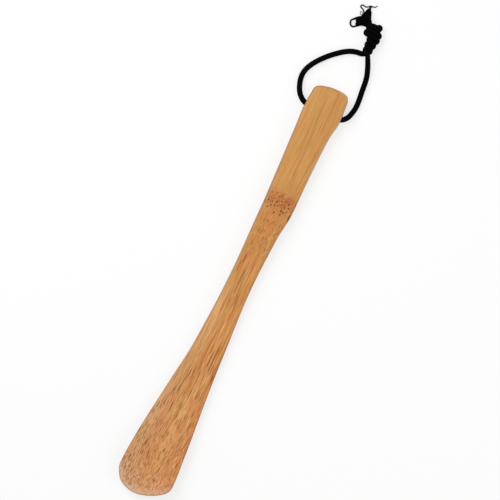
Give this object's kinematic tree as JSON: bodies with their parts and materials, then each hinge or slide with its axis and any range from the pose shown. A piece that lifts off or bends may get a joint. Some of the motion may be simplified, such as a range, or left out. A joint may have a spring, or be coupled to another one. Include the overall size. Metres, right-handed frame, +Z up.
{
  "type": "shoe horn",
  "caption": "Long bamboo shoe horn with a flared, scooped blade, a slim waist and a flat handle, hung from a loop of knotted cord through a cross bore.",
  "frame": {"origin": "middle of the horn's box, on the surface that it lies on with its scooped face up", "axes": "+Y along the horn, from the blade's tip towards the handle's end; +X to the right seen from above; +Z up, out of the scooped face"},
  "size_m": [0.0529, 0.4169, 0.0106],
  "materials": {
    "bamboo": "bare bamboo, planed and sanded, waxed to a low sheen",
    "cord": "black braided cord with a dull sheen"
  },
  "bodies": {
    "horn": {"horn": "bamboo"},
    "cord": {"cord_left": "cord", "cord_right": "cord", "knot_left_end": "cord", "knot_right_end": "cord"}
  },
  "joints": [
    {"name": "cord_swing", "type": "hinge", "parent": "horn", "child": "cord", "pos_m": [0, 0.155, 0.005], "axis": [1, 0, 0], "range_deg": [-160, 168]}
  ]
}
